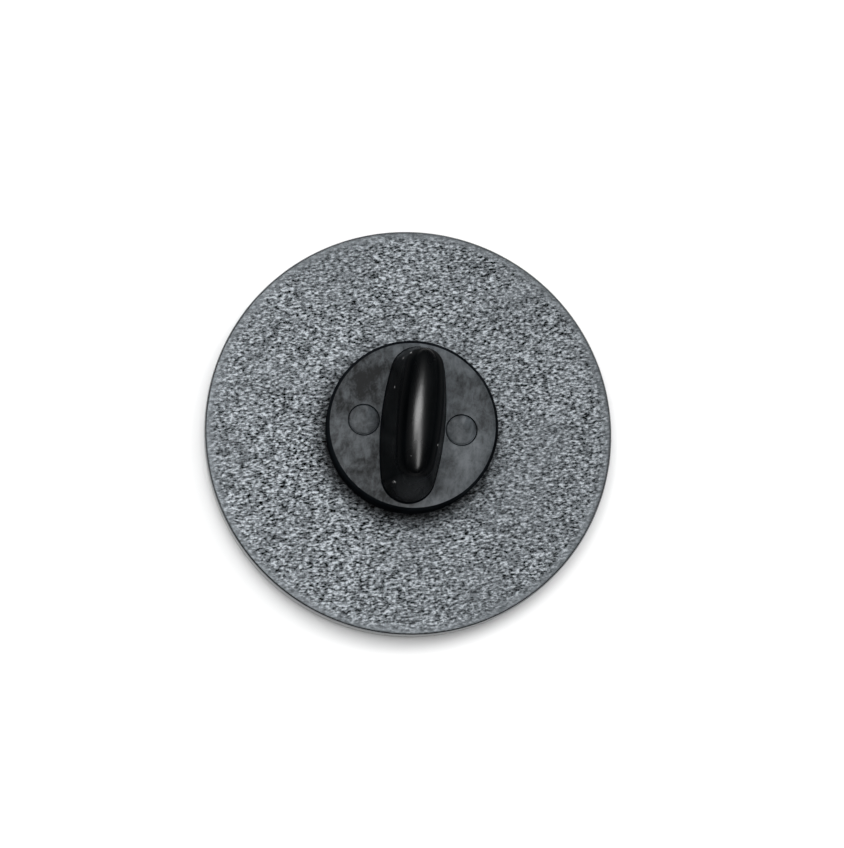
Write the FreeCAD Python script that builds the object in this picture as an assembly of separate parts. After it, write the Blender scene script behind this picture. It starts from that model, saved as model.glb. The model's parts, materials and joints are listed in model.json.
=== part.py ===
"""Round soft-enamel pin with a rubber clutch, lying on its front.

+Z points up, out of the pin's back. The front rim rests on z = 0 and the post is on the Z axis.
+Y is the upright direction of the front design, and the clutch's thumb fin runs along it.
Everything is in millimetres.
"""

import FreeCAD, Part
import math
import os

Vec = FreeCAD.Vector
UP = Vec(0, 0, 1)

# Base plate, die-struck in one piece
BADGE_DIAMETER = 25.4
BASE_THICKNESS = 1.5
FRONT_EDGE_ROUNDING = 0.25
BACK_EDGE_ROUNDING = 0.2
RIM_WIDTH = 0.8
LINE_WIDTH = 0.26
CELL_DEPTH = 0.55
CELL_CORNER_RADIUS = 0.07
ENAMEL_RECESS = 0.12

# Front design: an eight-point compass star in a segmented border
LONG_TIP_RADIUS = 8.7
SHORT_TIP_RADIUS = 6.3
VALLEY_RADIUS = 3.3
HUB_RADIUS = 1.9
BORDER_INNER_RADIUS = 9.7
BORDER_SEGMENTS = 8
STAR_CORNERS = 16

# Post and the joint that holds it
POST_LENGTH = 7.0
POST_DIAMETER = 1.1
POST_TIP_LENGTH = 1.1
POST_TIP_DIAMETER = 0.16
POST_HEAD_DIAMETER = 2.6
POST_HEAD_THICKNESS = 0.3
NOTCH_FROM_TIP = 1.75
NOTCH_WIDTH = 0.45
NOTCH_DEPTH = 0.12
BRAZE_FOOT = 0.38
BRAZE_HEIGHT = 0.22
BRAZE_HOLLOW = 0.33

# Rubber clutch, moulded in one piece
CLUTCH_GAP = 0.5
DISC_DIAMETER = 10.6
DISC_THICKNESS = 2.0
DISC_BOTTOM_DIAMETER = 10.52
DISC_TOP_ROUNDING = 0.22
DISC_BOTTOM_ROUNDING = 0.12
FIN_HEIGHT = 6.1
FIN_LENGTH = 9.75
FIN_WIDTH = 3.92
FIN_END_RADIUS = 1.65
FIN_CROWN_RADIUS = 1.4
FIN_SHOULDER_HEIGHT = 5.37
FIN_SHOULDER_INSET = 1.0
FIN_SHOULDER_ROUNDING = 1.2
MARK_DIAMETER = 2.0
MARK_OFFSET = 3.02
MARK_GROOVE_WIDTH = 0.12
MARK_GROOVE_DEPTH = 0.08
BORE_LEAD_IN = 0.35
BORE_CLEARANCE = 0.03
BORE_TOP_CLEARANCE = 0.4

# Worked out from the sizes above
BADGE_RADIUS = BADGE_DIAMETER / 2
FIELD_RADIUS = BADGE_RADIUS - RIM_WIDTH
BACK_Z = BASE_THICKNESS
POST_RADIUS = POST_DIAMETER / 2
POST_TIP_Z = BACK_Z + POST_LENGTH
CLUTCH_Z = BACK_Z + CLUTCH_GAP

# How near two heights must be to count as the same when edges are picked
SAME = 0.01


def polar(radius, degrees):
    """A point of the front design as it lies: seen from the front, angles run clockwise from the top."""
    angle = math.radians(degrees)
    return Vec(-radius * math.sin(angle), radius * math.cos(angle), 0)


def polygon_face(points):
    return Part.Face(Part.makePolygon(points + [points[0]]))


def disc_face(radius):
    return Part.Face(Part.Wire(Part.makeCircle(radius)))


def polar_arc(radius, start, end):
    return Part.Arc(polar(radius, start), polar(radius, (start + end) / 2), polar(radius, end)).toShape()


def pie_face(radius, start, end):
    """A slice of a disc between two angles in degrees."""
    sides = [Part.makeLine(Vec(), polar(radius, start)), Part.makeLine(polar(radius, end), Vec())]
    return Part.Face(Part.Wire([sides[0], polar_arc(radius, start, end), sides[1]]))


def ring_face(inner, outer, start, end):
    """A slice of a ring between two radii and two angles in degrees."""
    sides = [
        Part.makeLine(polar(outer, end), polar(inner, end)),
        Part.makeLine(polar(inner, start), polar(outer, start)),
    ]
    arcs = [polar_arc(outer, start, end), polar_arc(inner, end, start)]
    return Part.Face(Part.Wire([arcs[0], sides[0], arcs[1], sides[1]]))


def cell_outline(region):
    """A region of the design less its half of the raised lines around it, with rounded corners."""
    shrunk = region.makeOffset2D(-(LINE_WIDTH / 2 + CELL_CORNER_RADIUS))
    return shrunk.makeOffset2D(CELL_CORNER_RADIUS).Faces[0]


def star_corner(step):
    """A corner of the star's outline, which goes long tip, valley, short tip, valley."""
    radius = [LONG_TIP_RADIUS, VALLEY_RADIUS, SHORT_TIP_RADIUS, VALLEY_RADIUS][step % 4]
    return polar(radius, 360 / STAR_CORNERS * step)


def front_cells():
    """Every enamel cell of the front, as node name and flat outline."""
    hub = disc_face(HUB_RADIUS)
    star = polygon_face([star_corner(step) for step in range(STAR_CORNERS)])
    cells = {"enamel_hub": cell_outline(hub)}
    for step in range(STAR_CORNERS):
        facet = polygon_face([Vec(), star_corner(step), star_corner(step + 1)]).cut(hub).Faces[0]
        cells[f"enamel_facet_{step + 1:02d}"] = cell_outline(facet)
    for quarter in range(4):
        field = pie_face(BORDER_INNER_RADIUS, 90 * quarter, 90 * quarter + 90).cut(star).Faces[0]
        cells[f"enamel_field_{quarter + 1}"] = cell_outline(field)
    sweep = 360 / BORDER_SEGMENTS
    top_border = ring_face(BORDER_INNER_RADIUS, FIELD_RADIUS + LINE_WIDTH / 2, -sweep / 2, sweep / 2)
    top_outline = cell_outline(top_border)
    for segment in range(BORDER_SEGMENTS):
        cells[f"enamel_border_{segment + 1}"] = top_outline.rotated(Vec(), UP, sweep * segment)
    return cells


def prism(face, bottom, top):
    lifted = face.translated(Vec(0, 0, bottom))
    return lifted.extrude(UP * (top - bottom))


def revolved(outline):
    """A solid of revolution about Z from its (radius, height) corners."""
    face = polygon_face([Vec(radius, 0, height) for radius, height in outline])
    return face.revolve(Vec(), UP, 360)


def base_plate(cells):
    plate = Part.makeCylinder(BADGE_RADIUS, BASE_THICKNESS)
    front_edge = [e for e in plate.Edges if e.BoundBox.ZMax < SAME]
    plate = plate.makeFillet(FRONT_EDGE_ROUNDING, front_edge)
    back_edge = [e for e in plate.Edges if e.BoundBox.ZMin > BASE_THICKNESS - SAME and len(e.Vertexes) == 1]
    plate = plate.makeFillet(BACK_EDGE_ROUNDING, back_edge)
    pockets = [prism(outline, -CELL_DEPTH, CELL_DEPTH) for outline in cells.values()]
    return plate.cut(Part.makeCompound(pockets))


def enamel_fill(outline):
    return prism(outline, ENAMEL_RECESS, CELL_DEPTH)


def post():
    """A nail-headed pin with a retaining notch and a sharp point."""
    shoulder_z = POST_TIP_Z - POST_TIP_LENGTH
    notch_z = POST_TIP_Z - NOTCH_FROM_TIP
    notch_radius = POST_RADIUS - NOTCH_DEPTH
    return revolved([
        (0, BACK_Z),
        (POST_HEAD_DIAMETER / 2, BACK_Z),
        (POST_HEAD_DIAMETER / 2, BACK_Z + POST_HEAD_THICKNESS),
        (POST_RADIUS, BACK_Z + POST_HEAD_THICKNESS),
        (POST_RADIUS, notch_z - NOTCH_WIDTH / 2),
        (notch_radius, notch_z - NOTCH_WIDTH / 4),
        (notch_radius, notch_z + NOTCH_WIDTH / 4),
        (POST_RADIUS, notch_z + NOTCH_WIDTH / 2),
        (POST_RADIUS, shoulder_z),
        (POST_TIP_DIAMETER / 2, POST_TIP_Z),
        (0, POST_TIP_Z),
    ])


def braze_fillet():
    """The hollow-sided ring of braze around the post's head."""
    head_radius = POST_HEAD_DIAMETER / 2
    foot = Vec(head_radius + BRAZE_FOOT, 0, BACK_Z)
    crest = Vec(head_radius, 0, BACK_Z + BRAZE_HEIGHT)
    corner = Vec(head_radius, 0, BACK_Z)
    hollow = corner + Vec(BRAZE_FOOT, 0, BRAZE_HEIGHT) * BRAZE_HOLLOW
    slope = Part.Arc(foot, hollow, crest).toShape()
    section = Part.Wire([Part.makeLine(corner, foot), slope, Part.makeLine(crest, corner)])
    return Part.Face(section).revolve(Vec(), UP, 360)


def fin_plan():
    """The fin's footprint: two round ends joined by slightly bulged sides that meet them smoothly."""
    end_y = FIN_LENGTH / 2 - FIN_END_RADIUS
    bulge = FIN_WIDTH / 2 - FIN_END_RADIUS
    side_centre = (end_y ** 2 - bulge ** 2) / (2 * bulge)
    side_radius = side_centre + FIN_WIDTH / 2
    lean = math.atan2(end_y, side_centre)
    tangent = Vec(side_radius * math.cos(lean) - side_centre, side_radius * math.sin(lean), 0)

    def corner(x_sign, y_sign):
        return Vec(x_sign * tangent.x, y_sign * tangent.y, 0)

    right = Part.Arc(corner(1, -1), Vec(FIN_WIDTH / 2, 0, 0), corner(1, 1)).toShape()
    far_end = Part.Arc(corner(1, 1), Vec(0, FIN_LENGTH / 2, 0), corner(-1, 1)).toShape()
    left = Part.Arc(corner(-1, 1), Vec(-FIN_WIDTH / 2, 0, 0), corner(-1, -1)).toShape()
    near_end = Part.Arc(corner(-1, -1), Vec(0, -FIN_LENGTH / 2, 0), corner(1, -1)).toShape()
    return Part.Face(Part.Wire([right, far_end, left, near_end]))


def fin_cross_section():
    """The fin seen along Y: drafted walls that run smoothly into a full-round ridge."""
    centre_z = FIN_HEIGHT - FIN_CROWN_RADIUS
    foot = Vec(FIN_WIDTH / 2, 0, 0)
    reach = math.hypot(foot.x, centre_z)
    bearing = math.atan2(-centre_z, foot.x) + math.acos(FIN_CROWN_RADIUS / reach)
    shoulder = Vec(math.cos(bearing), 0, math.sin(bearing)) * FIN_CROWN_RADIUS + UP * centre_z
    mirror_shoulder = Vec(-shoulder.x, 0, shoulder.z)
    ridge = Part.Arc(shoulder, UP * FIN_HEIGHT, mirror_shoulder).toShape()
    walls = [Part.makeLine(foot, shoulder), Part.makeLine(mirror_shoulder, Vec(-foot.x, 0, 0))]
    floor = Part.makeLine(Vec(-foot.x, 0, 0), foot)
    return Part.Face(Part.Wire([walls[0], ridge, walls[1], floor]))


def fin_side_profile():
    """The fin seen along X: leaning ends, rounded shoulders and a slightly crowned ridge."""
    half = FIN_LENGTH / 2
    shoulder_y = half - FIN_SHOULDER_INSET
    shoulders = [Vec(0, side * shoulder_y, FIN_SHOULDER_HEIGHT) for side in (-1, 1)]
    crown = Part.Arc(shoulders[0], UP * FIN_HEIGHT, shoulders[1]).toShape()
    ends = [
        Part.makeLine(Vec(0, -half, 0), shoulders[0]),
        Part.makeLine(shoulders[1], Vec(0, half, 0)),
    ]
    floor = Part.makeLine(Vec(0, half, 0), Vec(0, -half, 0))
    return Part.Face(Part.Wire([ends[0], crown, ends[1], floor]))


def fin():
    across = Vec(FIN_WIDTH, 0, 0)
    along = Vec(0, FIN_LENGTH, 0)
    side_view = fin_side_profile().translated(across * -0.5).extrude(across)
    shoulder_edges = [
        e for e in side_view.Edges
        if e.BoundBox.YLength < SAME and abs(e.BoundBox.ZMax - FIN_SHOULDER_HEIGHT) < SAME
    ]
    side_view = side_view.makeFillet(FIN_SHOULDER_ROUNDING, shoulder_edges)
    end_view = fin_cross_section().translated(along * -0.5).extrude(along)
    top_view = fin_plan().extrude(UP * FIN_HEIGHT)
    return top_view.common(end_view).common(side_view)


def rubber_clutch():
    """A round disc with a tall thumb fin, a blind bore for the post and two ejector marks."""
    disc = Part.makeCone(DISC_BOTTOM_DIAMETER / 2, DISC_DIAMETER / 2, DISC_THICKNESS)
    top_edge = [e for e in disc.Edges if e.BoundBox.ZMin > DISC_THICKNESS - SAME]
    disc = disc.makeFillet(DISC_TOP_ROUNDING, top_edge)
    bottom_edge = [e for e in disc.Edges if e.BoundBox.ZMax < SAME]
    disc = disc.makeFillet(DISC_BOTTOM_ROUNDING, bottom_edge)
    for side in (-1, 1):
        centre = Vec(side * MARK_OFFSET, 0, DISC_THICKNESS - MARK_GROOVE_DEPTH)
        outer = Part.makeCylinder(MARK_DIAMETER / 2, DISC_THICKNESS, centre)
        inner = Part.makeCylinder(MARK_DIAMETER / 2 - MARK_GROOVE_WIDTH, DISC_THICKNESS, centre)
        disc = disc.cut(outer.cut(inner))
    body = disc.fuse(fin().translated(UP * DISC_THICKNESS)).removeSplitter()
    bore_top = POST_TIP_Z + BORE_TOP_CLEARANCE - CLUTCH_Z
    bore_radius = POST_RADIUS + BORE_CLEARANCE
    bore = Part.makeCylinder(bore_radius, bore_top)
    lead_in = Part.makeCone(bore_radius + BORE_LEAD_IN, bore_radius, BORE_LEAD_IN)
    return body.cut(bore.fuse(lead_in)).translated(UP * CLUTCH_Z)


def save(name, shape):
    solids = shape.Solids
    if len(solids) != 1 or not shape.isValid():
        raise ValueError(f"{name}: {len(solids)} solids, valid {shape.isValid()}")
    solids[0].exportStep(f"parts/{name}.step")


def main():
    os.makedirs("parts", exist_ok=True)
    cells = front_cells()
    save("die_struck_base", base_plate(cells))
    for name, outline in cells.items():
        save(name, enamel_fill(outline))
    save("post", post())
    save("braze_fillet", braze_fillet())
    save("rubber_clutch", rubber_clutch())


main()
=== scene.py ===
import json
import math

import bmesh
import bpy
import numpy as np
from mathutils import Matrix, Vector, geometry, noise


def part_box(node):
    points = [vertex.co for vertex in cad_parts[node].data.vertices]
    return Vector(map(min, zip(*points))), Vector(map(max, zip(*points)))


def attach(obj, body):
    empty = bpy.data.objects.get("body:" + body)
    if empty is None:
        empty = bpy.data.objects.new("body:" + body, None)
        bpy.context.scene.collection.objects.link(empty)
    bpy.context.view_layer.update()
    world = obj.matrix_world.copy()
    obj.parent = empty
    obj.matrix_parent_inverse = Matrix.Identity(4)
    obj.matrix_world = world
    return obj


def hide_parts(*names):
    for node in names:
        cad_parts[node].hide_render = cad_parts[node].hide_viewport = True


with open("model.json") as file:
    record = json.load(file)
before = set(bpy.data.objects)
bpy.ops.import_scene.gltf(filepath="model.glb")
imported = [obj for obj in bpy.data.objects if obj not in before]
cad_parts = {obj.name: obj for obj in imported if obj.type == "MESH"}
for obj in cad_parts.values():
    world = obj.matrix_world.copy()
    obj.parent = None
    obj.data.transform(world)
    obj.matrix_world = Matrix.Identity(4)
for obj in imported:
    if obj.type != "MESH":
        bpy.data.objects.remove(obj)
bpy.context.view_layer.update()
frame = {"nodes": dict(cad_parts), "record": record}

# Meshes are built in millimetres, in the row's own frame, and turned into metres by add_piece.
MM = 0.001


def box_mm(node):
    """A CAD node's low and high corners in millimetres."""
    low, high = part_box(node)
    return low / MM, high / MM


BASE_HIGH = box_mm("die_struck_base")[1]
POST_HIGH = box_mm("post")[1]
BRAZE_HIGH = box_mm("braze_fillet")[1]
CLUTCH_LOW, CLUTCH_HIGH = box_mm("rubber_clutch")
HUB_LOW, HUB_HIGH = box_mm("enamel_hub")

# Base plate: GRAIN_HEIGHT is the relief of its sandblasted back, which fades out over GRAIN_FADE
# before the rounded edge. The grain's streaks are turned by GRAIN_TURN degrees, and its contrast
# weakens from SMOOTH_RIM inside the outline. CONTACT_REACH is how far the painted shade beside
# another piece goes, and BRIGHT_SIDE points away from that painted shade.
BADGE_RADIUS = BASE_HIGH.x
BACK_Z = BASE_HIGH.z
FRONT_ROUNDING = 0.25
BACK_ROUNDING = 0.2
BACK_INNER_RADIUS = 1.2
BACK_RINGS = 108
AROUND = 768
GRAIN_HEIGHT = 0.012
GRAIN_FADE = 0.45
GRAIN_TURN = 12
SMOOTH_RIM = 0.7
CONTACT_REACH = 1.5
BRIGHT_SIDE = (0.27, 0.51, 0.82)
CELL_FLOOR_Z = HUB_HIGH.z

# The rounded edge of a raised line, as distance outside the cell and height over the front
LINE_ROUNDING = ((0.0, 0.06), (0.012, 0.022), (0.045, 0.0))

# Enamel: its face climbs the cell's wall by MENISCUS_RISE, falls off over MENISCUS_REACH and has
# a faint wave. Its points are a lattice, ENAMEL_STEP apart, and a collar just inside the outline.
ENAMEL_Z = HUB_LOW.z
MENISCUS_RISE = 0.07
MENISCUS_REACH = 0.13
ENAMEL_STEP = 0.11
ROW_STEP = ENAMEL_STEP * 0.866
LATTICE_GAP = ENAMEL_STEP * 0.4
COLLAR_INSET = 0.035
COLLAR_GAP = 0.02
WAVE_HEIGHT = 0.006
WAVE_SCALE = 0.9
FILL_SINK = 0.005

# Post: NOTCH_LEAD is the chamfer at each side of the notch, and TIP_CAP the blunt end of the point.
POST_RADIUS = 0.55
POST_HEAD_RADIUS = POST_HIGH.x
POST_HEAD_THICKNESS = 0.3
NOTCH_FROM_TIP = 1.75
NOTCH_WIDTH = 0.45
NOTCH_DEPTH = 0.12
POST_TIP_LENGTH = 1.1
POST_TIP_RADIUS = 0.08
TIP_CAP = 0.04
TIP_CAP_RADIUS = POST_TIP_RADIUS * 0.6
TIP_CAP_DROP = 0.01
POST_AROUND = 64
POST_STEPS = 12
HEAD_ROUNDING = 0.08
NECK_ROUNDING = 0.07
NOTCH_LEAD = 0.04

# Braze: it starts BRAZE_OVERLAP inside the head, goes BRAZE_SINK into the plate, and its outline
# wanders about a circle that is BRAZE_INSET inside the CAD fillet.
BRAZE_OVERLAP = 0.02
BRAZE_SINK = 0.03
BRAZE_INSET = 0.03
BRAZE_LIFT = 0.004
BRAZE_RINGS = 9
BRAZE_AROUND = 96
BRAZE_WANDER = 0.05

# Rubber clutch disc: its edge leans in to the bottom. Its bore is blind and ends in a shallow cone.
DISC_RADIUS = CLUTCH_HIGH.x
DISC_TOP_Z = CLUTCH_LOW.z + 2.0
DISC_BOTTOM_RADIUS = 5.26
DISC_TOP_ROUNDING = 0.22
DISC_BOTTOM_ROUNDING = 0.12
DISC_BEVEL_WIDTH = 0.26
DISC_BEVEL_DROP = 0.04
DISC_AROUND = 192
BORE_RADIUS = 0.58
BORE_TOP_Z = POST_HIGH.z + 0.4
BORE_LEAD_IN = 0.35
BORE_CONE = 0.2
MARK_RADIUS = 1.0
MARK_OFFSET = 3.02
MARK_SLIP = 0.25
MARK_AROUND = 72
MARK_FLOOR = 0.012

# The groove around an ejector mark, as share of the mark's radius and depth. The disc's matt
# material stops at its second ring and starts again at the ring numbered GROOVE_STEPS.
MARK_GROOVE = (
    (1.0, 0.0),
    (0.975, 0.03),
    (0.95, 0.07),
    (0.925, 0.08),
    (0.9, 0.07),
    (0.875, 0.03),
    (0.85, MARK_FLOOR),
)
GROOVE_STEPS = 3

# Rubber clutch fin. Level slices have round ends down to the disc and are ovals near the ridge: they
# change between FIN_OVAL_START and FIN_OVAL_FULL under it. Its gloss grows between the heights
# FIN_GLOSS_LOW and FIN_GLOSS_HIGH, which drop along the ridge by FIN_GLOSS_FOLLOW of the ridge's own
# drop, and a little towards its ends. FIN_LOOK_RISE over the disc is where the fin's look begins:
# its gloss, its dust and a painted shade that makes its tone darker than the disc's edge.
FIN_HEIGHT = CLUTCH_HIGH.z - DISC_TOP_Z
FIN_LENGTH = 9.75
FIN_WIDTH = 3.92
FIN_END_RADIUS = 1.65
FIN_CROWN_RADIUS = 1.4
FIN_SHOULDER_HEIGHT = 5.37
FIN_SHOULDER_INSET = 1.0
FIN_SHOULDER_SOFTNESS = 0.24
FIN_FOOT = 0.04
FIN_SINK = 0.15
FIN_OVAL_START = 1.5
FIN_OVAL_FULL = 0.4
FIN_GLOSS_LOW = 9.8
FIN_GLOSS_HIGH = 10.04
FIN_GLOSS_FOLLOW = 0.86
FIN_LOOK_RISE = 0.3
FIN_END_GLOSS_START = 3.7
FIN_END_GLOSS_FULL = 4.6
FIN_SHOULDER_Y = FIN_LENGTH / 2 - FIN_SHOULDER_INSET
FIN_RIDGE_DROP = FIN_HEIGHT - FIN_SHOULDER_HEIGHT
FIN_RIDGE_RADIUS = (FIN_SHOULDER_Y ** 2 + FIN_RIDGE_DROP ** 2) / (2 * FIN_RIDGE_DROP)
FIN_AROUND = 240
FLARE_STEPS = 6
WALL_STEPS = 24
CROWN_STEPS = 40


def grid_noise(x, y, scale_x, scale_y, seed):
    """Smooth noise of a place, with scales in waves a millimetre."""
    return noise.noise(Vector((x * scale_x, y * scale_y, seed)))


# ---------------------------------------------------------------- mesh helpers


def add_piece(name, points, faces, body, nodes, slot, materials, picks=None, smooth=35):
    """A mesh piece from points in millimetres. picks gives each face's material index."""
    mesh = bpy.data.meshes.new(name)
    mesh.from_pydata([tuple(float(c) * MM for c in p) for p in points], [], faces)
    for material in materials:
        mesh.materials.append(material)
    if picks is not None:
        mesh.polygons.foreach_set("material_index", picks)
    work = bmesh.new()
    work.from_mesh(mesh)
    bmesh.ops.remove_doubles(work, verts=work.verts, dist=1e-8)
    bmesh.ops.recalc_face_normals(work, faces=work.faces)
    work.to_mesh(mesh)
    work.free()
    mesh.shade_smooth()
    mesh.set_sharp_from_angle(angle=math.radians(smooth))
    piece = bpy.data.objects.new(name, mesh)
    bpy.context.scene.collection.objects.link(piece)
    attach(piece, body)
    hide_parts(*nodes)
    return piece


def circle_points(radius, z, count):
    turn = np.linspace(0, 2 * math.pi, count, endpoint=False)
    return np.column_stack([radius * np.cos(turn), radius * np.sin(turn), np.full(count, z)])


def skin(start_a, start_b, count):
    """Quads between two closed rings of count points."""
    return [
        (start_a + i, start_a + (i + 1) % count, start_b + (i + 1) % count, start_b + i)
        for i in range(count)
    ]


def revolve(profile, count):
    """Points and faces of a surface of revolution. A radius of 0 at an end closes it."""
    points, faces, starts = [], [], []
    for radius, z in profile:
        starts.append(len(points))
        points.extend([(0, 0, z)] if radius == 0 else circle_points(radius, z, count))
    for (radius_a, _), (radius_b, _), a, b in zip(profile, profile[1:], starts, starts[1:]):
        if radius_a == 0:
            faces.extend((a, b + (i + 1) % count, b + i) for i in range(count))
        elif radius_b == 0:
            faces.extend((b, a + i, a + (i + 1) % count) for i in range(count))
        else:
            faces.extend(skin(a, b, count))
    return points, faces


def quarter(centre_r, centre_z, radius, start, end, steps=5):
    """Arc points in the radius-height plane, from start to end degrees."""
    turns = [math.radians(start + (end - start) * i / steps) for i in range(steps + 1)]
    return [(centre_r + radius * math.cos(t), centre_z + radius * math.sin(t)) for t in turns]


def fill_flat(loops, inner=()):
    """Triangles of the flat region inside loops[0] and outside the others, with extra inner points."""
    points = [Vector(p[:2]) for loop in loops for p in loop]
    edges, start = [], 0
    for loop in loops:
        edges.extend((start + i, start + (i + 1) % len(loop)) for i in range(len(loop)))
        start += len(loop)
    points.extend(Vector(p[:2]) for p in inner)
    made, _, triangles, _, _, _ = geometry.delaunay_2d_cdt(points, edges, [], 1, 1e-7)
    flat = np.array([tuple(p) for p in made])
    triangles = np.array(triangles)
    middles = flat[triangles].mean(axis=1)
    kept = np.ones(len(triangles), bool)
    for hole in loops[1:]:
        kept &= ~inside(np.asarray(hole)[:, :2], middles)
    return [tuple(p) for p in flat], [tuple(int(i) for i in t) for t in triangles[kept]]


def join_parts(*parts):
    """One list of points and one of faces from several (points, faces) pairs."""
    points, faces = [], []
    for part_points, part_faces in parts:
        start = len(points)
        points.extend(part_points)
        faces.extend(tuple(start + i for i in face) for face in part_faces)
    return points, faces


def signed_area(loop):
    x, y = loop[:, 0], loop[:, 1]
    return 0.5 * float(np.sum(x * np.roll(y, -1) - np.roll(x, -1) * y))


def grown(loop, distance):
    """An anticlockwise outline moved outwards by distance along its corners' mitres."""
    ahead = np.roll(loop, -1, axis=0) - loop
    ahead /= np.linalg.norm(ahead, axis=1, keepdims=True)
    behind = np.roll(ahead, 1, axis=0)
    out_ahead = np.column_stack([ahead[:, 1], -ahead[:, 0]])
    out_behind = np.column_stack([behind[:, 1], -behind[:, 0]])
    mitre = out_ahead + out_behind
    mitre /= np.maximum(np.sum(mitre * out_ahead, axis=1, keepdims=True), 0.3)
    return loop + mitre * distance


def cell_outline(node):
    """The outline of an enamel cell, read from the front face of its CAD node, anticlockwise."""
    work = bmesh.new()
    work.from_mesh(frame["nodes"][node].data)
    bmesh.ops.remove_doubles(work, verts=work.verts, dist=1e-7)
    front = {f for f in work.faces if f.normal.z < -0.9}
    rim = [e for e in work.edges if sum(f in front for f in e.link_faces) == 1]
    after = {}
    for edge in rim:
        for here, there in (edge.verts, reversed(edge.verts)):
            after.setdefault(here, []).append(there)
    first = rim[0].verts[0]
    loop, previous, here = [first], None, first
    while True:
        step = [v for v in after[here] if v is not previous][0]
        if step is first:
            break
        loop.append(step)
        previous, here = here, step
    outline = np.array([(v.co.x / MM, v.co.y / MM) for v in loop])
    work.free()
    return outline if signed_area(outline) > 0 else outline[::-1]


def distance_to(outline, points):
    """Distance of each point to a closed outline."""
    best = np.full(len(points), np.inf)
    for a, b in zip(outline, np.roll(outline, -1, axis=0)):
        along = b - a
        share = np.clip((points - a) @ along / max(along @ along, 1e-12), 0, 1)
        best = np.minimum(best, np.linalg.norm(points - (a + share[:, None] * along), axis=1))
    return best


def inside(outline, points):
    """Which points lie inside a closed outline."""
    hit = np.zeros(len(points), bool)
    for a, b in zip(outline, np.roll(outline, -1, axis=0)):
        spans = (a[1] > points[:, 1]) != (b[1] > points[:, 1])
        rise = b[1] - a[1] if b[1] != a[1] else 1e-12
        hit ^= spans & (points[:, 0] < a[0] + (points[:, 1] - a[1]) * (b[0] - a[0]) / rise)
    return hit


# ---------------------------------------------------------------- materials


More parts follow.
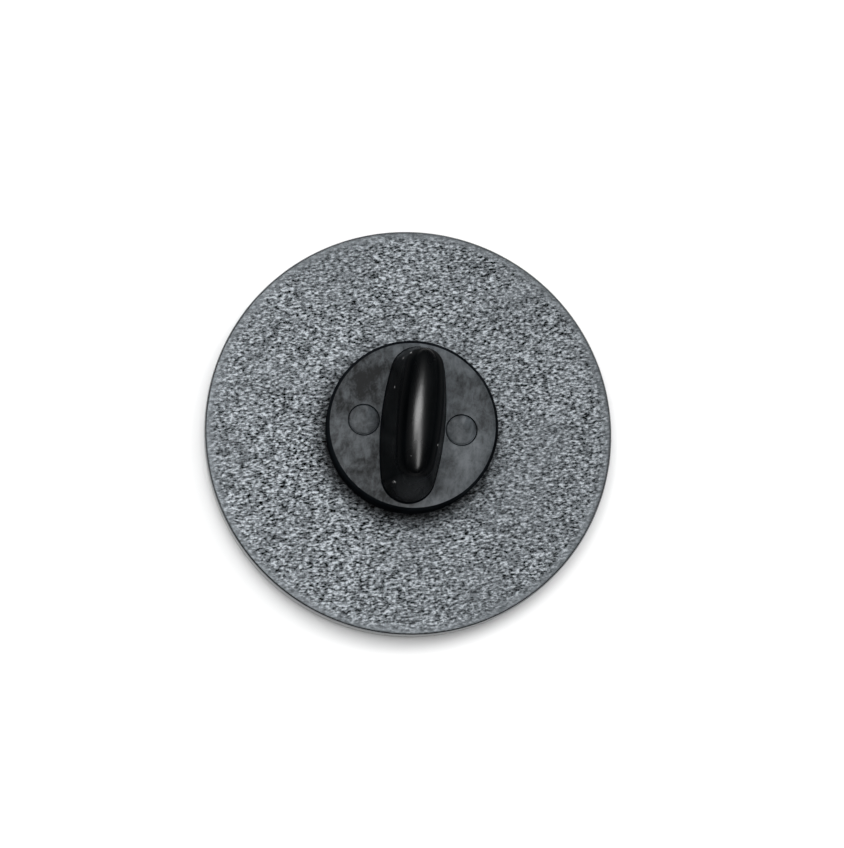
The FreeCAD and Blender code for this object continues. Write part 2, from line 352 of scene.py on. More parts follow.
class Tree:
    """Short calls for building one material's nodes."""

    def __init__(self, name):
        self.material = bpy.data.materials.new(name)
        self.material.use_nodes = True
        self.nodes = self.material.node_tree.nodes
        self.links = self.material.node_tree.links
        self.shader = next(n for n in self.nodes if n.type == "BSDF_PRINCIPLED")
        self.output = next(n for n in self.nodes if n.type == "OUTPUT_MATERIAL")
        self.place = self.node("ShaderNodeTexCoord").outputs["Object"]

    def node(self, kind, **settings):
        made = self.nodes.new(kind)
        for key, value in settings.items():
            setattr(made, key, value)
        return made

    def wire(self, source, target):
        self.links.new(source, target)

    def stretched(self, x, y, z, turn=0):
        """Object coordinates, in metres, multiplied by each axis's count of cells a metre.

        turn first turns the axes about Z, in degrees, anticlockwise seen from above.
        """
        turned = self.node("ShaderNodeMapping")
        self.wire(self.place, turned.inputs["Vector"])
        turned.inputs["Rotation"].default_value = (0, 0, math.radians(-turn))
        mapping = self.node("ShaderNodeMapping")
        self.wire(turned.outputs["Vector"], mapping.inputs["Vector"])
        mapping.inputs["Scale"].default_value = (x, y, z)
        return mapping.outputs["Vector"]

    def noise(self, vector, detail=2.0, roughness=0.5, distortion=0.0):
        made = self.node("ShaderNodeTexNoise")
        self.wire(vector, made.inputs["Vector"])
        made.inputs["Scale"].default_value = 1.0
        made.inputs["Detail"].default_value = detail
        made.inputs["Roughness"].default_value = roughness
        made.inputs["Distortion"].default_value = distortion
        return made.outputs["Fac"]

    def ramp(self, value, stops):
        made = self.node("ShaderNodeValToRGB")
        self.wire(value, made.inputs["Fac"])
        elements = made.color_ramp.elements
        while len(elements) < len(stops):
            elements.new(0.5)
        for element, (position, colour) in zip(elements, stops):
            element.position = position
            element.color = colour if len(colour) == 4 else (*colour, 1)
        return made.outputs["Color"]

    def remap(self, value, low, high, to_low, to_high):
        made = self.node("ShaderNodeMapRange")
        self.wire(value, made.inputs["Value"])
        made.inputs["From Min"].default_value = low
        made.inputs["From Max"].default_value = high
        made.inputs["To Min"].default_value = to_low
        made.inputs["To Max"].default_value = to_high
        return made.outputs["Result"]

    def math(self, operation, a, b):
        made = self.node("ShaderNodeMath", operation=operation)
        for socket, value in zip(made.inputs, (a, b)):
            if isinstance(value, (int, float)):
                socket.default_value = value
            else:
                self.wire(value, socket)
        return made.outputs["Value"]

    def blend(self, share, first, second):
        """The first colour, and the second, a fixed one, where share is 1."""
        made = self.node("ShaderNodeMix", data_type="RGBA")
        self.wire(share, made.inputs["Factor"])
        self.wire(first, made.inputs[6])
        made.inputs[7].default_value = second
        return made.outputs[2]

    def shaded(self, colour, amount):
        """A colour multiplied by a number."""
        made = self.node("ShaderNodeVectorMath", operation="SCALE")
        self.wire(colour, made.inputs[0])
        self.wire(amount, made.inputs["Scale"])
        return made.outputs[0]

    def from_axis(self):
        """Distance from the Z axis in metres."""
        made = self.node("ShaderNodeVectorMath", operation="LENGTH")
        self.wire(self.stretched(1, 1, 0), made.inputs[0])
        return made.outputs["Value"]

    def dust(self, cells, radius, share):
        """1 on a few small round specks: cells a metre, radius in cells, share of cells with one."""
        made = self.node("ShaderNodeTexVoronoi")
        self.wire(self.stretched(cells, cells, cells), made.inputs["Vector"])
        made.inputs["Scale"].default_value = 1.0
        near = self.remap(made.outputs["Distance"], radius * 0.4, radius, 1, 0)
        chosen = self.math("GREATER_THAN", made.outputs["Color"], 1 - share)
        return self.math("MULTIPLY", near, chosen)

    def axis(self, name):
        """One object coordinate in metres."""
        made = self.node("ShaderNodeSeparateXYZ")
        self.wire(self.place, made.inputs[0])
        return made.outputs[name]

    def height(self):
        """Object height in metres."""
        return self.axis("Z")

    def bump(self, height, distance, base=None):
        made = self.node("ShaderNodeBump")
        self.wire(height, made.inputs["Height"])
        made.inputs["Distance"].default_value = distance
        made.inputs["Strength"].default_value = 1.0
        if base is not None:
            self.wire(base, made.inputs["Normal"])
        return made.outputs["Normal"]

    def set(self, **values):
        """Sets or wires the shader's sockets. Underscores in a name stand for spaces."""
        for key, value in values.items():
            socket = self.shader.inputs[key.replace("_", " ")]
            if isinstance(value, bpy.types.NodeSocket):
                self.wire(value, socket)
            else:
                socket.default_value = value


def grey(value):
    return (value, value, value, 1)


def tinted(value, red=1.0, green=1.0, blue=1.0):
    return (value * red, value * green, value * blue, 1)


def blasted_metal():
    """Black-nickel plating over a sandblasted back, with painted shade close to the clutch."""
    t = Tree("blasted_black_nickel")
    grain = t.noise(t.stretched(4600, 8600, 6400, GRAIN_TURN), detail=2, roughness=0.55)
    speck = t.noise(t.stretched(8200, 10600, 9400, GRAIN_TURN), detail=1)
    patch = t.noise(t.stretched(190, 260, 190), detail=2)
    rim_start = (BADGE_RADIUS - SMOOTH_RIM) * MM
    rim_end = (BADGE_RADIUS - BACK_ROUNDING) * MM
    rim = t.remap(t.from_axis(), rim_start, rim_end, 1.0, 0.35)
    contrast = t.math("MULTIPLY", rim, t.remap(patch, 0.3, 0.7, 1.2, 0.8))
    spread = t.math("MULTIPLY", t.remap(grain, 0.33, 0.67, -0.5, 0.5), contrast)
    shade = t.math("ADD", spread, t.remap(rim, 0.35, 1.0, 0.59, 0.5))
    # Painted shade: the colour darkens near other pieces, most on the side away from BRIGHT_SIDE.
    nearness = t.node("ShaderNodeAmbientOcclusion", samples=8)
    nearness.inputs["Distance"].default_value = CONTACT_REACH * MM
    bright_side = t.node("ShaderNodeCombineXYZ")
    for socket, value in zip(bright_side.inputs, BRIGHT_SIDE):
        socket.default_value = value
    t.wire(bright_side.outputs["Vector"], nearness.inputs["Normal"])
    painted_contact_shade = t.remap(nearness.outputs["AO"], 0.5, 0.92, 0.05, 1.0)
    t.set(
        Base_Color=t.shaded(t.ramp(shade, [
            (0.0, tinted(0.0, 0.9, 1.0, 1.1)),
            (0.3, tinted(0.064, 0.91, 1.0, 1.08)),
            (0.68, tinted(0.145, 0.92, 1.0, 1.07)),
            (1.0, tinted(0.3, 0.93, 1.0, 1.06)),
        ]), painted_contact_shade),
        Metallic=0.6,
        Specular_IOR_Level=0.02,
        Roughness=t.remap(grain, 0.3, 0.7, 0.62, 0.42),
        Normal=t.bump(speck, 8e-6, base=t.bump(grain, 2.6e-5)),
    )
    return t.material


def polished_metal():
    """Black-nickel plating over the polished rim, edge and raised lines."""
    t = Tree("polished_black_nickel")
    haze = t.noise(t.stretched(900, 900, 900), detail=3)
    ripple = t.noise(t.stretched(500, 500, 500), detail=2)
    scratch = t.noise(t.stretched(400, 9000, 3000), detail=2, distortion=0.4)
    t.set(
        Base_Color=t.ramp(haze, [
            (0.3, tinted(0.15, 0.96, 1.0, 1.04)),
            (0.7, tinted(0.21, 0.97, 1.0, 1.02)),
        ]),
        Metallic=1.0,
        Roughness=t.remap(haze, 0.3, 0.7, 0.14, 0.26),
        Normal=t.bump(scratch, 1.2e-6, base=t.bump(ripple, 8e-6)),
    )
    return t.material


def steel():
    """Drawn and plated pin steel, turned slightly rough."""
    t = Tree("plated_post_steel")
    drawn = t.noise(t.stretched(5200, 5200, 500), detail=2)
    haze = t.noise(t.stretched(1300, 1300, 1300), detail=2)
    t.set(
        Base_Color=t.ramp(haze, [
            (0.3, tinted(0.2, 0.97, 1.0, 1.02)),
            (0.7, tinted(0.29, 0.98, 1.0, 1.01)),
        ]),
        Metallic=1.0,
        Roughness=t.remap(haze, 0.3, 0.7, 0.2, 0.34),
        Normal=t.bump(drawn, 4e-6),
    )
    return t.material


def braze():
    """Plated braze that has flowed and frozen around the post's head."""
    t = Tree("plated_braze")
    flow = t.noise(t.stretched(1500, 1500, 1500), detail=3)
    t.set(
        Base_Color=t.ramp(flow, [
            (0.3, tinted(0.13, 0.97, 1.0, 1.02)),
            (0.7, tinted(0.23, 0.98, 1.0, 1.0)),
        ]),
        Metallic=1.0,
        Roughness=t.remap(flow, 0.3, 0.7, 0.5, 0.3),
        Normal=t.bump(flow, 3e-5),
    )
    return t.material


def pvc_disc():
    """Soft black PVC with an unpolished mould's matt face: smudged, dusty, with painted light that makes
    it lighter towards +X.
    """
    t = Tree("black_pvc_matt")
    cloud = t.noise(t.stretched(260, 220, 260), detail=2, distortion=0.2)
    smear = t.noise(t.stretched(1900, 1300, 1900), detail=5, roughness=0.7, distortion=0.3)
    pore = t.noise(t.stretched(7000, 7000, 7000), detail=2)
    # Painted light: the face is made lighter towards +X, and the same sum also drives its roughness and
    # gloss.
    painted_side_light = t.remap(t.axis("X"), -DISC_RADIUS * MM, DISC_RADIUS * MM, -0.13, 0.13)
    smudge_and_side_light = t.math("ADD", t.remap(cloud, 0.3, 0.7, 0.0, 0.5), t.remap(smear, 0.3, 0.7, 0.0, 0.5))
    smudge_and_side_light = t.math("ADD", smudge_and_side_light, painted_side_light)
    tone = t.ramp(smudge_and_side_light, [
        (0.15, tinted(0.006, 0.82, 1.0, 1.15)),
        (0.85, tinted(0.075, 0.83, 1.0, 1.15)),
    ])
    t.set(
        Base_Color=t.blend(t.dust(1400, 0.07, 0.1), tone, grey(0.4)),
        Roughness=t.remap(smudge_and_side_light, 0.1, 0.9, 0.66, 0.5),
        Specular_IOR_Level=t.remap(smudge_and_side_light, 0.2, 0.8, 0.18, 0.42),
        Normal=t.bump(smear, 4e-6, base=t.bump(pore, 5e-6)),
        IOR=1.52,
    )
    return t.material


def pvc_fin():
    """The same PVC where a polished mould made the fin's ridge glossier than its walls."""
    t = Tree("black_pvc_gloss")
    smear = t.noise(t.stretched(500, 180, 300), detail=3, distortion=0.3)
    pore = t.noise(t.stretched(5200, 5200, 5200), detail=2)
    tone = t.ramp(smear, [
        (0.3, tinted(0.001, 0.75, 1.0, 1.25)),
        (0.7, tinted(0.0028, 0.8, 1.0, 1.2)),
    ])
    on_fin = t.math("GREATER_THAN", t.height(), (DISC_TOP_Z + FIN_LOOK_RISE) * MM)
    # Painted shade: the fin gets a tone 2.6 times darker than the same PVC on the disc's edge and
    # underside.
    tone = t.shaded(tone, t.remap(on_fin, 0, 1, 2.6, 1.0))
    along = t.math("ABSOLUTE", t.axis("Y"), 0)
    on_end = t.remap(along, FIN_END_GLOSS_START * MM, FIN_END_GLOSS_FULL * MM, 0.0, 0.12)
    ridge_bend = FIN_GLOSS_FOLLOW / (2 * FIN_RIDGE_RADIUS * MM)
    ridge_drop = t.math("MULTIPLY", t.math("MULTIPLY", along, along), ridge_bend)
    ridge_level = t.math("ADD", t.height(), ridge_drop)
    ridge_gloss = t.remap(ridge_level, FIN_GLOSS_LOW * MM, FIN_GLOSS_HIGH * MM, 0.008, 0.42)
    t.set(
        Base_Color=t.blend(t.math("MULTIPLY", on_fin, t.dust(1100, 0.12, 0.4)), tone, grey(0.5)),
        Roughness=t.remap(smear, 0.3, 0.7, 0.24, 0.32),
        Specular_IOR_Level=t.math("MULTIPLY", on_fin, t.math("MAXIMUM", ridge_gloss, on_end)),
        Normal=t.bump(pore, 2.5e-6),
        IOR=1.52,
    )
    return t.material


def enamel(slot):
    """Glossy baked enamel: even colour with faint pigment streaks and orange peel."""
    record_slot = next(m for m in frame["record"]["materials"] if m["slot"] == slot)
    red, green, blue = record_slot["base_color"][:3]
    t = Tree(slot)
    cloud = t.noise(t.stretched(420, 420, 420), detail=3)
    pigment = t.noise(t.stretched(5200, 5200, 5200), detail=2)
    peel = t.noise(t.stretched(900, 900, 900), detail=1)
    mottle = t.math("ADD", t.remap(cloud, 0.3, 0.7, 0.0, 0.7), t.remap(pigment, 0.3, 0.7, 0.0, 0.3))
    t.set(
        Base_Color=t.ramp(mottle, [
            (0.0, (red * 0.86, green * 0.86, blue * 0.86)),
            (1.0, (min(1, red * 1.08), min(1, green * 1.08), min(1, blue * 1.08))),
        ]),
        Roughness=t.remap(cloud, 0.3, 0.7, 0.1, 0.17),
        Normal=t.bump(peel, 5e-6),
        Coat_Weight=0.6,
        Coat_Roughness=0.05,
    )
    return t.material


# ---------------------------------------------------------------- base plate

ENAMEL_NODES = sorted(n for n in frame["nodes"] if n.startswith("enamel_"))
OUTLINES = {node: cell_outline(node) for node in ENAMEL_NODES}


def back_height(x, y):
    """The sandblasted surface's height over its mean, in millimetres."""
    coarse = grid_noise(x, y, 1.9, 2.5, 3.1)
    fine = grid_noise(x, y, 3.7, 4.6, 8.4)
    return GRAIN_HEIGHT * (0.55 * coarse + 0.75 * fine)


def base_back():
    """The back as rings of grained points, then the rounded edge, the side and the front's edge."""
    flat_radius = BADGE_RADIUS - BACK_ROUNDING
    points, faces = [], []
    radii = np.linspace(BACK_INNER_RADIUS, flat_radius, BACK_RINGS)
    rings = []
    for radius in radii:
        ring = circle_points(radius, BACK_Z, AROUND)
        fade = min(1.0, (flat_radius - radius) / GRAIN_FADE)
        ring[:, 2] += [fade * back_height(x, y) for x, y, _ in ring]
        rings.append(ring)
    edge = quarter(flat_radius, BACK_Z - BACK_ROUNDING, BACK_ROUNDING, 90, 0, 6)[1:]
    front_flat = BADGE_RADIUS - FRONT_ROUNDING
    edge += quarter(front_flat, FRONT_ROUNDING, FRONT_ROUNDING, 0, -90, 6)
    rings += [circle_points(radius, z, AROUND) for radius, z in edge]
    for number, ring in enumerate(rings):
        points.extend(tuple(p) for p in ring)
        if number:
            faces.extend(skin((number - 1) * AROUND, number * AROUND, AROUND))
    middle = len(points)
    points.append((0, 0, BACK_Z))
    faces.extend((middle, i, (i + 1) % AROUND) for i in range(AROUND))
    return points, faces


def base_front():
    """The flat front between rounded cell edges, and each cell's wall and floor."""
    rim = circle_points(BADGE_RADIUS - FRONT_ROUNDING, 0, AROUND)[:, :2]
    parts, holes = [], []
    for outline in OUTLINES.values():
        count = len(outline)
        levels = [(0.0, CELL_FLOOR_Z)] + list(LINE_ROUNDING)
        points, faces = [], []
        for number, (growth, z) in enumerate(levels):
            loop = grown(outline, growth)
            points.extend((x, y, z) for x, y in loop)
            if number:
                faces.extend(skin((number - 1) * count, number * count, count))
        holes.append(grown(outline, levels[-1][0]))
        parts.append((points, faces))
        floor, triangles = fill_flat([outline])
        parts.append(([(x, y, CELL_FLOOR_Z) for x, y in floor], triangles))
    flat, triangles = fill_flat([rim] + holes)
    parts.append(([(x, y, 0) for x, y in flat], triangles))
    return join_parts(*parts)


def make_base(blasted, polished):
    """The plate. Its back, to two steps into the rounded edge, is blasted and the rest is polished."""
    back_points, back_faces = base_back()
    points, faces = join_parts((back_points, back_faces), base_front())
    textured = (BACK_RINGS + 1) * AROUND
    middle = range(len(back_faces) - AROUND, len(back_faces))
    picks = [0 if i < textured or i in middle else 1 for i in range(len(faces))]
    return add_piece(
        "struck_base", points, faces, "badge", ["die_struck_base"], "black_nickel",
        [blasted, polished], picks=picks, smooth=50,
    )


# ---------------------------------------------------------------- enamel


def enamel_wave(x, y):
    """The slow unevenness of a baked face, in millimetres."""
    return WAVE_HEIGHT * grid_noise(x, y, WAVE_SCALE, WAVE_SCALE, 5.5)


def make_fill(node, material, slot):
    """One baked fill: its face creeps up the cell's wall and sinks a little in the middle."""
    outline = OUTLINES[node]
    low, high = outline.min(0), outline.max(0)
    columns = np.arange(low[0], high[0], ENAMEL_STEP)
    rows = np.arange(low[1], high[1], ROW_STEP)
    lattice = np.array([
        (x + (row % 2) * ENAMEL_STEP / 2, y) for row, y in enumerate(rows) for x in columns
    ])
    lattice = lattice[inside(outline, lattice)]
    lattice = lattice[distance_to(outline, lattice) > LATTICE_GAP] if len(lattice) else lattice
    collar = grown(outline, -COLLAR_INSET)
    collar = collar[inside(outline, collar)]
    collar = collar[distance_to(outline, collar) > COLLAR_GAP]
    inner = [tuple(p) for p in collar] + [tuple(p) for p in lattice]
    flat, triangles = fill_flat([outline], inner)
    depth = distance_to(outline, np.array(flat))
    face = []
    for (x, y), reach in zip(flat, depth):
        rise = MENISCUS_RISE * math.exp(-reach / MENISCUS_REACH)
        face.append((x, y, ENAMEL_Z - rise + enamel_wave(x, y)))
    edge = [(x, y, ENAMEL_Z - MENISCUS_RISE + enamel_wave(x, y)) for x, y in outline]
    bottom = [(x, y, CELL_FLOOR_Z - FILL_SINK) for x, y in outline]
    back, back_triangles = fill_flat([outline])
    points, faces = join_parts(
        (face, triangles),
        (edge + bottom, skin(0, len(outline), len(outline))),
        ([(x, y, CELL_FLOOR_Z - FILL_SINK) for x, y in back], back_triangles),
    )
    return add_piece("fill_" + node[7:], points, faces, "badge", [node], slot, [material], smooth=40)


# ---------------------------------------------------------------- post and braze


def make_post(material):
    """The nail-headed post: head, neck, retaining notch and ogive point."""
    tip_z = POST_HIGH.z
    notch_low = tip_z - NOTCH_FROM_TIP - NOTCH_WIDTH / 2
    head_top = BACK_Z + POST_HEAD_THICKNESS
    profile = [(0, BACK_Z), (POST_HEAD_RADIUS, BACK_Z)]
    profile += quarter(POST_HEAD_RADIUS - HEAD_ROUNDING, head_top - HEAD_ROUNDING, HEAD_ROUNDING, 0, 90)
    profile += quarter(POST_RADIUS + NECK_ROUNDING, head_top + NECK_ROUNDING, NECK_ROUNDING, -90, -180)
    profile.append((POST_RADIUS, notch_low - NOTCH_LEAD))
    for i in range(POST_STEPS + 1):
        share = i / POST_STEPS
        depth = NOTCH_DEPTH * math.sin(math.pi * share) ** 0.8
        profile.append((POST_RADIUS - depth, notch_low + NOTCH_WIDTH * share))
    profile.append((POST_RADIUS, notch_low + NOTCH_WIDTH + NOTCH_LEAD))
    for i in range(POST_STEPS + 1):
        share = i / POST_STEPS
        radius = POST_TIP_RADIUS + (POST_RADIUS - POST_TIP_RADIUS) * (1 - share) ** 0.8
        profile.append((radius, tip_z - POST_TIP_LENGTH + (POST_TIP_LENGTH - TIP_CAP) * share))
    profile += [(TIP_CAP_RADIUS, tip_z - TIP_CAP_DROP), (0, tip_z)]
    points, faces = revolve(profile, POST_AROUND)
    return add_piece("nail_post", points, faces, "badge", ["post"], "steel_post", [material])


def make_braze(material):
    """A slightly uneven hollow ring around the head."""
    inner = POST_HEAD_RADIUS - BRAZE_OVERLAP
    outer = BRAZE_HIGH.x - BRAZE_INSET
    points, faces = [], []
    for ring in range(BRAZE_RINGS):
        share = ring / (BRAZE_RINGS - 1)
        top = BACK_Z + (BRAZE_HIGH.z - BACK_Z) * (1 - share) ** 2.1
        for turn in np.linspace(0, 2 * math.pi, BRAZE_AROUND, endpoint=False):
            wander = BRAZE_WANDER * grid_noise(math.cos(turn), math.sin(turn), 1.6, 1.6, 2.2)
            radius = inner + (outer + wander - inner) * share
            points.append((radius * math.cos(turn), radius * math.sin(turn), top + BRAZE_LIFT))
        if ring:
            faces.extend(skin((ring - 1) * BRAZE_AROUND, ring * BRAZE_AROUND, BRAZE_AROUND))
    for radius in (outer, inner):
        start = len(points)
        points.extend(circle_points(radius, BACK_Z - BRAZE_SINK, BRAZE_AROUND))
        faces.extend(skin(start - BRAZE_AROUND, start, BRAZE_AROUND))
    faces.extend(skin(len(points) - BRAZE_AROUND, 0, BRAZE_AROUND))
    return add_piece(
        "braze_ring", points, faces, "badge", ["braze_fillet"], "braze", [material], smooth=60,
    )


# ---------------------------------------------------------------- rubber clutch


def fin_outline(half_width, half_length, end_radius, count, oval):
    """A level slice of the fin, anticlockwise: round ends joined by slightly bulged sides.

    oval moves it from that shape, at 0, to an oval of the same size, at 1.
    """
    end_y = half_length - end_radius
    bulge = half_width - end_radius
    side_centre = (end_y ** 2 - bulge ** 2) / (2 * bulge)
    side_radius = side_centre + half_width
    lean = math.atan2(end_y, side_centre)
    quarter_points = []
    side_steps = count // 10
    for i in range(side_steps):
        turn = lean * i / side_steps
        quarter_points.append((side_radius * math.cos(turn) - side_centre, side_radius * math.sin(turn)))
    end_steps = count // 4 - side_steps
    for i in range(end_steps):
        turn = lean + (math.pi / 2 - lean) * i / end_steps
        quarter_points.append((end_radius * math.cos(turn), end_y + end_radius * math.sin(turn)))
    right_top = np.array(quarter_points)
    left_top = np.array([(0.0, half_length)] + [(-x, y) for x, y in quarter_points[:0:-1]])
    upper = np.vstack([right_top, left_top])
    slice_points = np.vstack([upper, -upper])
    turn = np.arctan2(slice_points[:, 1] / half_length, slice_points[:, 0] / half_width)
    oval_points = np.column_stack([half_width * np.cos(turn), half_length * np.sin(turn)])
    return slice_points + (oval_points - slice_points) * oval


def fin_half_length(rise):
    """Half the fin's length at a height: leaning ends that pass smoothly into a crowned ridge."""
    ridge_centre = FIN_HEIGHT - FIN_RIDGE_RADIUS
    end = FIN_LENGTH / 2 - FIN_SHOULDER_INSET * rise / FIN_SHOULDER_HEIGHT
    ridge = math.sqrt(max(FIN_RIDGE_RADIUS ** 2 - (rise - ridge_centre) ** 2, 0))
    nearer, farther = min(end, ridge), max(end, ridge)
    overlap = math.exp((nearer - farther) / FIN_SHOULDER_SOFTNESS)
    return nearer - FIN_SHOULDER_SOFTNESS * math.log1p(overlap)


def fin_levels():
    """Half width, half length and height over the disc of each slice, from the flared foot up."""
    crown_z = FIN_HEIGHT - FIN_CROWN_RADIUS
    reach = math.hypot(FIN_WIDTH / 2, crown_z)
    lean = math.atan2(-crown_z, FIN_WIDTH / 2) + math.acos(FIN_CROWN_RADIUS / reach)
    shoulder_rise = crown_z + FIN_CROWN_RADIUS * math.sin(lean)
    shoulder_width = FIN_CROWN_RADIUS * math.cos(lean)
    levels = [(FIN_WIDTH / 2 + FIN_FOOT, FIN_LENGTH / 2 + FIN_FOOT, -FIN_SINK)]
    for i in range(FLARE_STEPS):
        turn = math.pi / 2 * i / FLARE_STEPS
        flare = FIN_FOOT * (1 - math.sin(turn))
        levels.append((FIN_WIDTH / 2 + flare, FIN_LENGTH / 2 + flare, FIN_FOOT * (1 - math.cos(turn))))
    for i in range(WALL_STEPS + 1):
        rise = FIN_FOOT + (shoulder_rise - FIN_FOOT) * i / WALL_STEPS
        half_width = FIN_WIDTH / 2 + (shoulder_width - FIN_WIDTH / 2) * rise / shoulder_rise
        levels.append((half_width, fin_half_length(rise), rise))
    for i in range(1, CROWN_STEPS):
        turn = lean + (math.pi / 2 - lean) * i / CROWN_STEPS
        rise = crown_z + FIN_CROWN_RADIUS * math.sin(turn)
        levels.append((FIN_CROWN_RADIUS * math.cos(turn), fin_half_length(rise), rise))
    return levels


def oval_share(rise):
    """0 for a slice with round ends and 1 for an oval one, eased between the two."""
    depth = FIN_HEIGHT - rise
    share = (FIN_OVAL_START - depth) / (FIN_OVAL_START - FIN_OVAL_FULL)
    share = min(1.0, max(0.0, share))
    return share * share * (3 - 2 * share)


def fin_shell():
    """The fin's skin in level rings, closed by a point at the top of its ridge."""
    roundness = FIN_END_RADIUS / (FIN_WIDTH / 2)
    levels = fin_levels()
    points, faces = [], []
    for number, (half_width, half_length, rise) in enumerate(levels):
        ring = fin_outline(half_width, half_length, half_width * roundness, FIN_AROUND, oval_share(rise))
        points.extend((x, y, DISC_TOP_Z + rise) for x, y in ring)
        if number:
            faces.extend(skin((number - 1) * FIN_AROUND, number * FIN_AROUND, FIN_AROUND))
    points.append((0, 0, CLUTCH_HIGH.z))
    last = (len(levels) - 1) * FIN_AROUND
    faces.extend((len(points) - 1, last + i, last + (i + 1) % FIN_AROUND) for i in range(FIN_AROUND))
    return points, faces


def mark_rings(centre_x):
    """An ejector mark: a narrow, slightly off-centre groove around a disc that stands a hair low."""
    points, faces = [], []
    for number, (share, depth) in enumerate(MARK_GROOVE):
        ring = circle_points(MARK_RADIUS * share, DISC_TOP_Z - depth, MARK_AROUND)
        slip = MARK_SLIP * (1 - share)
        points.extend((x + centre_x - slip, y + slip, z) for x, y, z in ring)
        if number:
            faces.extend(skin((number - 1) * MARK_AROUND, number * MARK_AROUND, MARK_AROUND))
    points.append((centre_x, 0, DISC_TOP_Z - MARK_FLOOR))
    last = (len(MARK_GROOVE) - 1) * MARK_AROUND
    faces.extend((len(points) - 1, last + i, last + (i + 1) % MARK_AROUND) for i in range(MARK_AROUND))
    dark = range(MARK_AROUND, GROOVE_STEPS * MARK_AROUND)
    picks = [1 if number in dark else 0 for number in range(len(faces))]
    return points, faces, picks


def disc_shell():
    """The disc: bevel, edge, underside and bore as one revolved skin, and its face around the marks.

    Returns points, faces and each face's material: 0 for the matt face, 1 for the rest.
    """
    bevel_radius = DISC_RADIUS - DISC_TOP_ROUNDING
    flat_radius = bevel_radius - DISC_BEVEL_WIDTH
    edge_z = DISC_TOP_Z - DISC_BEVEL_DROP - DISC_TOP_ROUNDING
    low_z = CLUTCH_LOW.z
    low_radius = DISC_BOTTOM_RADIUS - DISC_BOTTOM_ROUNDING
    profile = [(flat_radius, DISC_TOP_Z)]
    profile += quarter(bevel_radius, edge_z, DISC_TOP_ROUNDING, 80, 0, 7)
    profile += quarter(low_radius, low_z + DISC_BOTTOM_ROUNDING, DISC_BOTTOM_ROUNDING, 0, -90, 6)
    profile += [(BORE_RADIUS + BORE_LEAD_IN, low_z), (BORE_RADIUS, low_z + BORE_LEAD_IN)]
    profile += [(BORE_RADIUS, BORE_TOP_Z - BORE_CONE), (0, BORE_TOP_Z)]
    body_points, body_faces = revolve(profile, DISC_AROUND)
    rim = circle_points(flat_radius, 0, DISC_AROUND)[:, :2]
    mark = circle_points(MARK_RADIUS, 0, MARK_AROUND)[:, :2]
    flat, triangles = fill_flat([rim, mark - (MARK_OFFSET, 0), mark + (MARK_OFFSET, 0)])
    face_points = [(x, y, DISC_TOP_Z) for x, y in flat]
    left_points, left_faces, left_picks = mark_rings(-MARK_OFFSET)
    right_points, right_faces, right_picks = mark_rings(MARK_OFFSET)
    points, faces = join_parts(
        (body_points, body_faces),
        (face_points, triangles),
        (left_points, left_faces),
        (right_points, right_faces),
    )
    bevel_picks = [0] * DISC_AROUND
    edge_picks = [1] * (len(body_faces) - DISC_AROUND)
    picks = bevel_picks + edge_picks + [0] * len(triangles) + left_picks + right_picks
    return points, faces, picks


def make_clutch(matt, gloss):
    """The disc and fin as one piece."""
    disc_points, disc_faces, disc_picks = disc_shell()
    points, faces = join_parts((disc_points, disc_faces), fin_shell())
    picks = disc_picks + [1] * (len(faces) - len(disc_faces))
    return add_piece(
        "pvc_clutch", points, faces, "clutch", ["rubber_clutch"], "black_pvc",
        [matt, gloss], picks=picks, smooth=40,
    )


# ---------------------------------------------------------------- stage, camera and light

# The picture's right and up on the table: the fin leans ROLL clockwise in the picture. Lengths here
# are in metres. VIEW_HEIGHT is how much the camera sees at the pin's distance.
ROLL = math.radians(5.3)
PICTURE_RIGHT = Vector((math.cos(ROLL), math.sin(ROLL), 0))
PICTURE_UP = Vector((-math.sin(ROLL), math.cos(ROLL), 0))
CAMERA_TILT = math.radians(10.5)
CAMERA_LEAN = math.radians(240)
CAMERA_DISTANCE = 0.2
VIEW_HEIGHT = 0.0527
SENSOR_WIDTH = 36
AIM_RIGHT = 0.00079
AIM_UP = 0.00047

# The table, in millimetres, is open under the pin's flat front.
TABLE_HOLE_RADIUS = BADGE_RADIUS - FRONT_ROUNDING + 0.03
TABLE_RADIUS = 1500
TABLE_AROUND = 96


def make_camera():
    """A camera that leans a little from straight over the pin's back."""
    camera = bpy.data.objects.new("camera", bpy.data.cameras.new("camera"))
    bpy.context.scene.collection.objects.link(camera)
    bpy.context.scene.camera = camera
    sideways = PICTURE_RIGHT * math.cos(CAMERA_LEAN) + PICTURE_UP * math.sin(CAMERA_LEAN)
    back = sideways * math.sin(CAMERA_TILT) + Vector((0, 0, math.cos(CAMERA_TILT)))
    right = PICTURE_UP.cross(back).normalized()
    up = back.cross(right)
    target = PICTURE_RIGHT * AIM_RIGHT + PICTURE_UP * AIM_UP + Vector((0, 0, BACK_Z * MM))
    turn = Matrix((right, up, back)).transposed().to_4x4()
    camera.matrix_world = Matrix.Translation(target + back * CAMERA_DISTANCE) @ turn
    camera.data.sensor_width = SENSOR_WIDTH
    camera.data.lens = SENSOR_WIDTH * CAMERA_DISTANCE / VIEW_HEIGHT
    camera.data.clip_start = 0.01
    camera.data.clip_end = 10


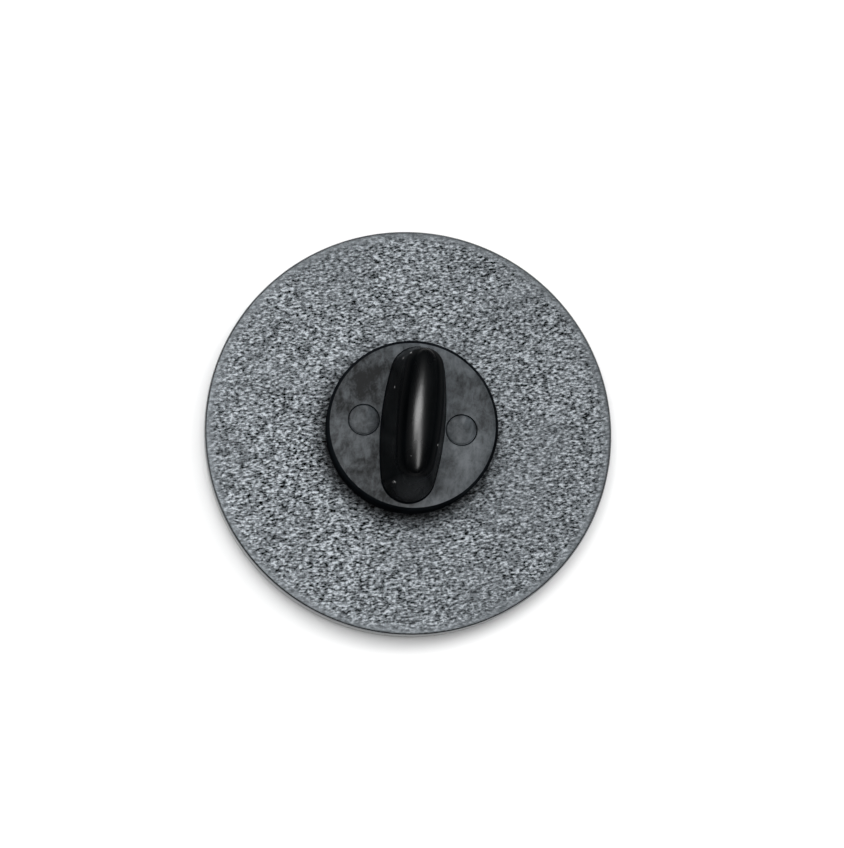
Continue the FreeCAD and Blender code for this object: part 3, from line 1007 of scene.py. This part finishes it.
def softbox(name, right, up, height, width, depth, power, lights, spin=0):
    """A rectangular light at a place given in the picture's directions, aimed at the pin.

    lights is "gloss" for reflections only or "matt" for diffuse light only. spin turns it about
    its own axis, in degrees.
    """
    light = bpy.data.lights.new(name, "AREA")
    light.shape = "RECTANGLE"
    light.size = width
    light.size_y = depth
    light.energy = power
    lamp = bpy.data.objects.new(name, light)
    bpy.context.scene.collection.objects.link(lamp)
    place = PICTURE_RIGHT * right + PICTURE_UP * up + Vector((0, 0, height))
    back = place.normalized()
    across = PICTURE_UP.cross(back).normalized()
    turn = Matrix((across, back.cross(across), back)).transposed().to_4x4()
    lamp.matrix_world = Matrix.Translation(place) @ turn @ Matrix.Rotation(math.radians(spin), 4, "Z")
    lamp.visible_camera = False
    lamp.visible_glossy = lights == "gloss"
    lamp.visible_diffuse = lights == "matt"


def make_floor():
    """A pale table top, seen from above only and open under the pin, so that its front shows."""
    t = Tree("pale_table")
    mottle = t.noise(t.stretched(60, 60, 60), detail=2)
    t.set(
        Base_Color=t.ramp(mottle, [(0.0, grey(0.94)), (1.0, grey(0.96))]),
        Roughness=0.9,
        Specular_IOR_Level=0.1,
    )
    hole = circle_points(TABLE_HOLE_RADIUS, 0, TABLE_AROUND)
    edge = circle_points(TABLE_RADIUS, 0, TABLE_AROUND)
    points = [tuple(p) for p in hole] + [tuple(p) for p in edge]
    mesh = bpy.data.meshes.new("table")
    faces = skin(TABLE_AROUND, 0, TABLE_AROUND)
    mesh.from_pydata([tuple(c * MM for c in p) for p in points], [], faces)
    clear = t.node("ShaderNodeBsdfTransparent").outputs["BSDF"]
    side = t.node("ShaderNodeNewGeometry").outputs["Backfacing"]
    seen = t.node("ShaderNodeLightPath").outputs["Is Camera Ray"]
    either = t.node("ShaderNodeMixShader")
    t.wire(t.math("MULTIPLY", side, seen), either.inputs[0])
    t.wire(t.shader.outputs["BSDF"], either.inputs[1])
    t.wire(clear, either.inputs[2])
    t.wire(either.outputs[0], t.output.inputs["Surface"])
    mesh.materials.append(t.material)
    floor = bpy.data.objects.new("table", mesh)
    bpy.context.scene.collection.objects.link(floor)


def make_world():
    """A dim, even room that gives diffuse light and doesn't show in reflections."""
    world = bpy.data.worlds.new("studio")
    world.use_nodes = True
    background = world.node_tree.nodes["Background"]
    background.inputs["Color"].default_value = (0.95, 0.98, 1.0, 1)
    background.inputs["Strength"].default_value = 0.12
    bpy.context.scene.world = world
    world.cycles_visibility.glossy = False
    bpy.context.scene.view_settings.view_transform = "Standard"


make_camera()
make_world()
make_floor()
softbox("key", -0.12, 0.1, 0.6, 0.34, 0.28, 3.3, lights="gloss", spin=32)
softbox("key_tail", 0.09, -0.21, 0.6, 0.15, 0.48, 1.7, lights="gloss", spin=30)
softbox("left_card", -0.6, 0.0, 0.3, 0.5, 0.6, 0.2, lights="gloss")
softbox("table_light", -0.06, 0.2, 0.5, 0.4, 0.4, 1.6, lights="matt")
softbox("top_fill", -0.12, 0.1, 0.7, 2.0, 2.0, 10.0, lights="matt")
softbox("right_fill", 0.42, 0.35, 0.45, 0.3, 0.3, 1.5, lights="matt")
softbox("below", 0.0, 0.0, -0.5, 0.5, 0.5, 2.4, lights="matt")
softbox("below_card", 0.25, 0.35, -0.45, 0.5, 0.5, 2.4, lights="gloss")

make_base(blasted_metal(), polished_metal())
node_slots = {s["node"]: s["material_slot"] for s in frame["record"]["subparts"]}
enamels = {slot: enamel(slot) for slot in sorted({node_slots[n] for n in ENAMEL_NODES})}
for node in ENAMEL_NODES:
    make_fill(node, enamels[node_slots[node]], node_slots[node])
make_post(steel())
make_braze(braze())
make_clutch(pvc_disc(), pvc_fin())
